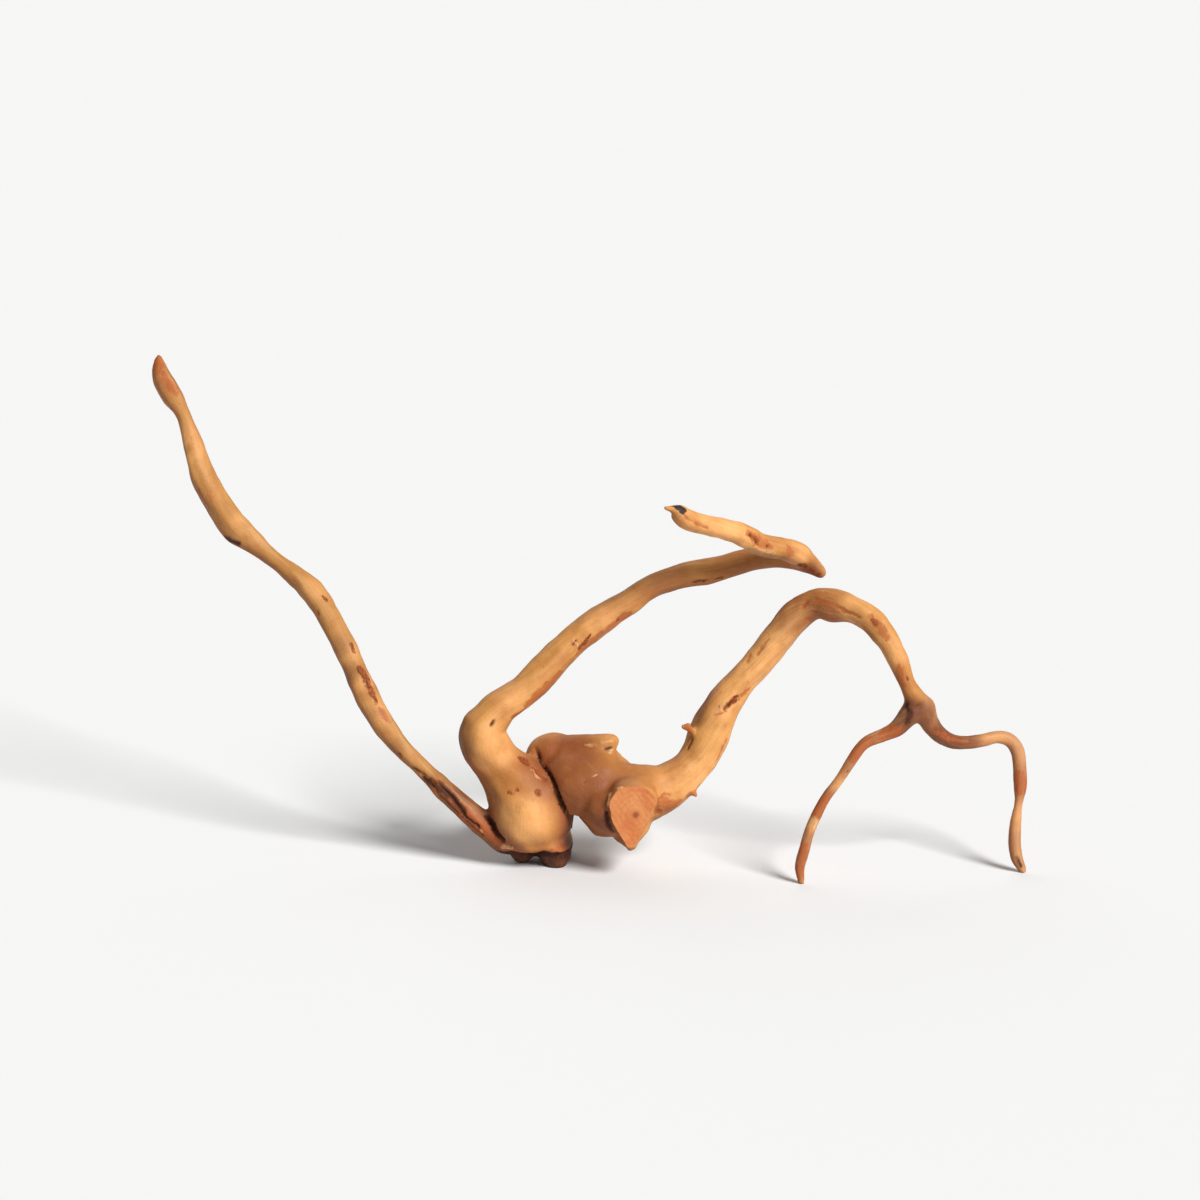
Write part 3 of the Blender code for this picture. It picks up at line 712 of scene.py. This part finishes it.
def maths(operation, first, second=0.0):
    """Two values put together, and kept from 0 to 1."""
    return add(tree, "ShaderNodeMath", {0: first, 1: second}, operation=operation, use_clamp=True).outputs[0]


def more_of(value, times, base):
    """The base and so many times the value."""
    return add(tree, "ShaderNodeMath", {0: value, 1: times, 2: base}, operation="MULTIPLY_ADD").outputs[0]


def between(value, low, high):
    """0 at low, 1 at high."""
    return add(tree, "ShaderNodeMapRange", {"Value": value, "From Min": low, "From Max": high}).outputs[0]


def painted(under, over, amount):
    """One colour over another, by an amount from 0 to 1."""
    return add(tree, "ShaderNodeMix", {0: amount, 6: under, 7: over}, data_type="RGBA").outputs[2]


# Streaks follow the fibres: the across and along sizes, in millimetres.
streak = {}
for name, across, length, detail in (("band", 5.0, 70.0, 3.0), ("fibre", 1.1, 26.0, 4.0), ("hair", 0.42, 15.0, 2.0)):
    stretched = add(tree, "ShaderNodeVectorMath", {0: run, 1: (1 / across, 1 / across, 1 / length)},
                    operation="MULTIPLY").outputs[0]
    streak[name] = add(tree, "ShaderNodeTexNoise",
                       {"Vector": stretched, "Scale": 1.0, "Detail": detail, "Roughness": 0.6}).outputs["Fac"]
# Blotches and specks don't: sizes in millimetres.
blot = {}
for name, size, detail in (("wide", 38.0, 3.0), ("patch", 11.0, 4.0), ("ragged", 2.4, 5.0), ("speck", 1.1, 2.0)):
    blot[name] = add(tree, "ShaderNodeTexNoise",
                     {"Vector": place, "Scale": 1000 / size, "Detail": detail, "Roughness": 0.62}).outputs["Fac"]

# Tan wood in two shades, then one tone after another over it: how strong, and where in which pattern.
bare = painted(colour("#b07135"), colour("#c78c4a"), between(blot["wide"], 0.38, 0.58))
bare = painted(bare, colour("#ac783f"), maths("MULTIPLY", share["ochre"], 0.8))
bare = painted(bare, colour("#b98561"), maths("MULTIPLY", share["rosy"], 0.65))
bare = painted(bare, colour("#9e5c30"), maths("MULTIPLY", between(blot["patch"], 0.5, 0.72), 0.5))
for area, tone, pattern, low, high in (
    ("under", "#8c4e23", blot["patch"], 0.1, 0.5),       # painted shade: browner on faces turned down and to the left, away from the key
    # reddish-brown, and painted shade beside the fold and low on the left lobe
    ("ruddy", "#8c4c27", blot["wide"], 0.1, 0.45),
    ("fair", "#e3a465", blot["patch"], 0.25, 0.6),
    # painted shade
    ("shady", "#63341a", blot["patch"], -0.2, 0.45),
):
    bare = painted(bare, colour(tone), maths("MULTIPLY", share[area], between(pattern, low, high)))
for tone, pattern, low, high, strength in (
    ("#90552c", "band", 0.5, 0.68, 0.3),                 # broad bands, browner and fairer
    ("#d0a06a", "band", 0.46, 0.3, 0.4),
    ("#78421e", "fibre", 0.54, 0.74, 0.26),              # dark fibres
    ("#dab17b", "hair", 0.5, 0.28, 0.13),                # pale hairs
):
    bare = painted(bare, colour(tone), maths("MULTIPLY", between(streak[pattern], low, high),
                                             maths("MULTIPLY", share["settled"], strength)))
bare = painted(bare, colour("#6a3719"), maths("MULTIPLY", between(blot["speck"], 0.69, 0.76), 0.6))

# The sawn face: rings round the pith, darker at the pith.
RING_TURN = 2600.0    # radians each metre, so the rings are 2.4 mm apart
from_pith = add(tree, "ShaderNodeVectorMath", {0: place, 1: tuple(PITH * MM)}, operation="DISTANCE")
from_pith = from_pith.outputs["Value"]
ring = more_of(from_pith, RING_TURN, maths("MULTIPLY", blot["patch"], 1.0))
ring = add(tree, "ShaderNodeMath", {0: ring}, operation="SINE").outputs[0]
cut_wood = painted(colour("#b36533"), colour("#c27e49"), between(blot["patch"], 0.35, 0.65))
cut_wood = painted(cut_wood, colour("#9d4e23"), maths("MULTIPLY", between(ring, 0.2, 1.0), 0.16))
cut_wood = painted(cut_wood, colour("#85411e"), between(from_pith, 0.0025, 0.0008))
coat = painted(bare, cut_wood, share["sawn"])

# Layers over the bare wood: finish, its two tones, how ragged its edge is and how fully it covers.
covered = {}
for name, tone, tone_two, ragged, softness, cover in (
    ("red", "#97471c", "#ac5a28", 0.8, 0.12, 0.72),      # a thin red-brown stain
    ("bark", "#95471a", "#632f12", 0.8, 0.07, 0.85),     # scraps of inner bark, matt
    ("pale", "#d0a87a", "#be8750", 0.9, 0.1, 0.75),      # freshly torn fibres
    ("dark", "#4e2412", "#2a110a", 0.4, 0.16, 0.94),     # dark stain, and painted shade in the fold, pits, slits and under the lip
    ("char", "#1d1b1b", "#0d0c0c", 0.4, 0.05, 0.97),     # a burnt patch
):
    frayed = more_of(blot["ragged"], ragged, share[name])
    edge = 0.5 + ragged / 2
    covered[name] = maths("MULTIPLY", between(frayed, edge - softness, edge + softness), cover)
    tones = painted(colour(tone), colour(tone_two), between(streak["fibre"], 0.4, 0.62))
    coat = painted(coat, tones, covered[name])

# Fine fibres to catch the light at a low angle, and a satin that bark and the dark layer of stain and painted shade
# turn matt.
relief = more_of(streak["fibre"], 0.7, blot["speck"])
relief = more_of(covered["bark"], 1.6, relief)
relief = more_of(streak["hair"], 0.4, relief)
bump = add(tree, "ShaderNodeBump", {"Strength": 0.8, "Distance": 0.25 * MM, "Height": relief})
dull = more_of(between(blot["patch"], 0.3, 0.7), 0.14, 0.52)
dull = maths("ADD", dull, maths("MULTIPLY", covered["bark"], 0.15))
dull = maths("ADD", dull, maths("MULTIPLY", covered["dark"], 0.2))
surface = add(tree, "ShaderNodeBsdfPrincipled", {
    "Base Color": coat, "Roughness": dull, "Specular IOR Level": 0.28, "Normal": bump.outputs[0]})
add(tree, "ShaderNodeOutputMaterial", {"Surface": surface.outputs[0]})


# ==== Bark scales ====
# Scraps of the thin red inner bark that still cling inside the brown marks.
# Each is a curled scale two millimetres long, dry and lifting at its edges, lying with the grain.
def scale_tree():
    """Scatters copies of a small shape on the skin where a finish is strong, turned with the grain."""
    tree, given = shape_tree("clinging_scraps", {
        "Own": "Geometry", "Skin": "Object", "Scrap": "Object", "Finish": "String", "Density": "Float",
        "From": "Float", "Apart": "Float", "Lean": "Float", "Seed": "Int", "Material": "Material"})
    skin = add(tree, "GeometryNodeObjectInfo", {"Object": given["Skin"]}).outputs["Geometry"]
    scrap = add(tree, "GeometryNodeObjectInfo", {"Object": given["Scrap"]}).outputs["Geometry"]
    enough = add(tree, "FunctionNodeCompare", {0: stored(tree, given["Finish"]), 1: given["From"]},
                 operation="GREATER_THAN").outputs[0]
    spots = add(tree, "GeometryNodeDistributePointsOnFaces", {
        "Mesh": skin, "Selection": enough, "Distance Min": given["Apart"], "Density Max": given["Density"],
        "Density Factor": 1.0, "Seed": given["Seed"]}, distribute_method="POISSON")
    way = stored(tree, "fibre_way", "FLOAT_VECTOR")
    flat = add(tree, "FunctionNodeAlignRotationToVector", {"Vector": spots.outputs["Normal"]}, axis="Z").outputs[0]
    laid = add(tree, "FunctionNodeAlignRotationToVector", {"Rotation": flat, "Vector": way}, axis="X",
               pivot_axis="Z").outputs[0]
    turn = add(tree, "FunctionNodeRandomValue", {0: (-0.2, -0.6, -0.5), 1: (0.2, 0.1, 0.5), "Seed": given["Seed"]},
               data_type="FLOAT_VECTOR").outputs[0]
    turn = add(tree, "ShaderNodeVectorMath", {0: turn, "Scale": given["Lean"]}, operation="SCALE").outputs[0]
    turned = add(tree, "FunctionNodeRotateRotation", {0: laid, 1: turn}, rotation_space="LOCAL").outputs[0]
    size = add(tree, "FunctionNodeRandomValue", {0: (0.5, 0.5, 0.7), 1: (1.4, 1.25, 1.3), "Seed": given["Seed"]},
               data_type="FLOAT_VECTOR").outputs[0]
    placed = add(tree, "GeometryNodeInstanceOnPoints", {
        "Points": spots.outputs["Points"], "Instance": scrap, "Rotation": turned, "Scale": size})
    real = add(tree, "GeometryNodeRealizeInstances", {0: placed.outputs[0]})
    done = add(tree, "GeometryNodeSetMaterial", {"Geometry": real.outputs[0], "Material": given["Material"]})
    add(tree, "NodeGroupOutput", {0: done.outputs[0]})
    return tree


def scattered(name, scrap, values):
    """One object of many scraps on the driftwood's skin."""
    thing = in_scene(name, bpy.data.meshes.new(name))
    spread = thing.modifiers.new("clinging_scraps", "NODES")
    spread.node_group = scraps
    settings_of(spread, {"Skin": driftwood, "Scrap": scrap, **values})
    mesh = plain_mesh(thing, name)
    bpy.data.objects.remove(scrap)
    thing = in_scene(name, mesh)
    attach(thing, "root")


THICKLY = 900000.0    # scraps on each square metre, before those too near to each other are dropped


def plate(name, outline, thick, curl, hump):
    """A small closed plate from an outline in millimetres, curled across and humped along."""
    shape = bmesh.new()
    rings = []
    for lift_up in (0.0, thick):
        for share_in in (1.0, 0.5):
            rings.append([shape.verts.new(Vector((x * share_in, y * share_in, 0)) * MM) for x, y in outline])
            for vert in rings[-1]:
                x, y = vert.co.x / MM, vert.co.y / MM
                vert.co.z = (curl * y * y + hump * x * x + lift_up) * MM
    under_mid = shape.verts.new((0, 0, 0))
    over_mid = shape.verts.new((0, 0, thick * MM))
    size = len(outline)
    for i in range(size):
        j = (i + 1) % size
        for outer, inner in ((rings[0], rings[1]), (rings[2], rings[3]), (rings[0], rings[2])):
            shape.faces.new((outer[i], outer[j], inner[j], inner[i]))
        shape.faces.new((rings[1][i], rings[1][j], under_mid))
        shape.faces.new((rings[3][i], rings[3][j], over_mid))
    bmesh.ops.recalc_face_normals(shape, faces=shape.faces)
    mesh = bpy.data.meshes.new(name)
    shape.to_mesh(mesh)
    shape.free()
    return in_scene(name, mesh)


scraps = scale_tree()
# Matt red-brown flakes, mottled darker, which stand out from the satin wood round them.
inner_bark = bpy.data.materials.new("thin_red_inner_bark")
tree = emptied(inner_bark)
place = add(tree, "ShaderNodeTexCoord").outputs["Object"]
mottle = add(tree, "ShaderNodeTexNoise", {"Vector": place, "Scale": 1000 / 1.6, "Detail": 4.0}).outputs["Fac"]
reds = painted(colour("#743614"), colour("#9c4c20"), between(mottle, 0.38, 0.62))
bump = add(tree, "ShaderNodeBump", {"Strength": 0.6, "Distance": 0.2 * MM, "Height": mottle})
surface = add(tree, "ShaderNodeBsdfPrincipled", {
    "Base Color": reds, "Roughness": 0.7, "Specular IOR Level": 0.3, "Normal": bump.outputs[0]})
add(tree, "ShaderNodeOutputMaterial", {"Surface": surface.outputs[0]})
bark_scale = plate("bark_scale", [(1.2, 0.1), (0.8, 0.6), (0.1, 0.5), (-0.5, 0.75), (-1.1, 0.3), (-0.9, -0.3),
                                  (-0.2, -0.6), (0.6, -0.45)], 0.16, -0.12, 0.14)
scattered("bark_scales", bark_scale, {
    "Finish": "bark", "Density": THICKLY, "From": 0.56, "Apart": 1.3 * MM, "Lean": 0.55, "Seed": 4,
    "Material": inner_bark})

# ==== Splinters ====
# Pale torn fibres standing at the broken stubs, the notch and round the sawn face.
# Each is a stiff sliver of wood about two and a half millimetres long, fixed at one end.
# Clean wood from inside a limb, paler and less ruddy than the weathered skin round it.
torn_wood = bpy.data.materials.new("pale_torn_wood")
tree = emptied(torn_wood)
place = add(tree, "ShaderNodeTexCoord").outputs["Object"]
mottle = add(tree, "ShaderNodeTexNoise", {"Vector": place, "Scale": 1000 / 2.2, "Detail": 3.0}).outputs["Fac"]
pales = painted(colour("#9e6335"), colour("#ca9e6c"), between(mottle, 0.35, 0.62))
surface = add(tree, "ShaderNodeBsdfPrincipled", {"Base Color": pales, "Roughness": 0.6, "Specular IOR Level": 0.3})
add(tree, "ShaderNodeOutputMaterial", {"Surface": surface.outputs[0]})
sliver = plate("sliver", [(2.1, 0.0), (1.4, 0.14), (0.4, 0.24), (-0.7, 0.2), (-0.8, -0.2), (0.5, -0.26),
                          (1.5, -0.12)], 0.2, -0.4, 0.1)
scattered("splinters", sliver, {
    "Finish": "pale", "Density": THICKLY, "From": 0.62, "Apart": 1.5 * MM, "Lean": 0.8, "Seed": 9,
    "Material": torn_wood})

# ==== The studio ====
# A plain white floor, one broad soft key from the right, above and in front, and a
# weaker soft light from behind.
floor_mesh = bpy.data.meshes.new("floor")
floor_mesh.from_pydata([(-60, -60, 0), (60, -60, 0), (60, 60, 0), (-60, 60, 0)], [], [(0, 1, 2, 3)])
floor = in_scene("floor", floor_mesh)
paper = bpy.data.materials.new("matt_white_paper")
paper.use_nodes = True
for name, value in (("Base Color", colour("#e6e6e5")), ("Roughness", 0.95), ("Specular IOR Level", 0.0)):
    paper.node_tree.nodes["Principled BSDF"].inputs[name].default_value = value
floor_mesh.materials.append(paper)

for name, strength, spread, turned in (
    ("key", 4.4, 22, (53, 0, 42)), ("back", 0.9, 60, (-52, 0, 20)),
):
    light = bpy.data.lights.new(name, "SUN")
    light.energy = strength
    light.angle = math.radians(spread)
    in_scene(name, light).rotation_euler = [math.radians(angle) for angle in turned]
world = bpy.data.worlds.new("soft_room")
world.use_nodes = True
sky = world.node_tree.nodes["Background"].inputs
sky["Color"].default_value, sky["Strength"].default_value = colour("#f7f8fa"), 0.16
bpy.context.scene.world = world
bpy.context.scene.view_settings.view_transform = "Standard"

# Seen from in front of the burl and a little above it.
target, down, reach = Vector((0.00675, -0.0205, 0.138)), math.radians(12), 1.5
lens = bpy.data.cameras.new("camera")
lens.lens, lens.sensor_width = 90, 36
lens.clip_end = 200
camera = in_scene("camera", lens)
camera.location = target + Vector((0, -math.cos(down), math.sin(down))) * reach
camera.rotation_euler = (math.pi / 2 - down, 0, 0)
bpy.context.scene.camera = camera
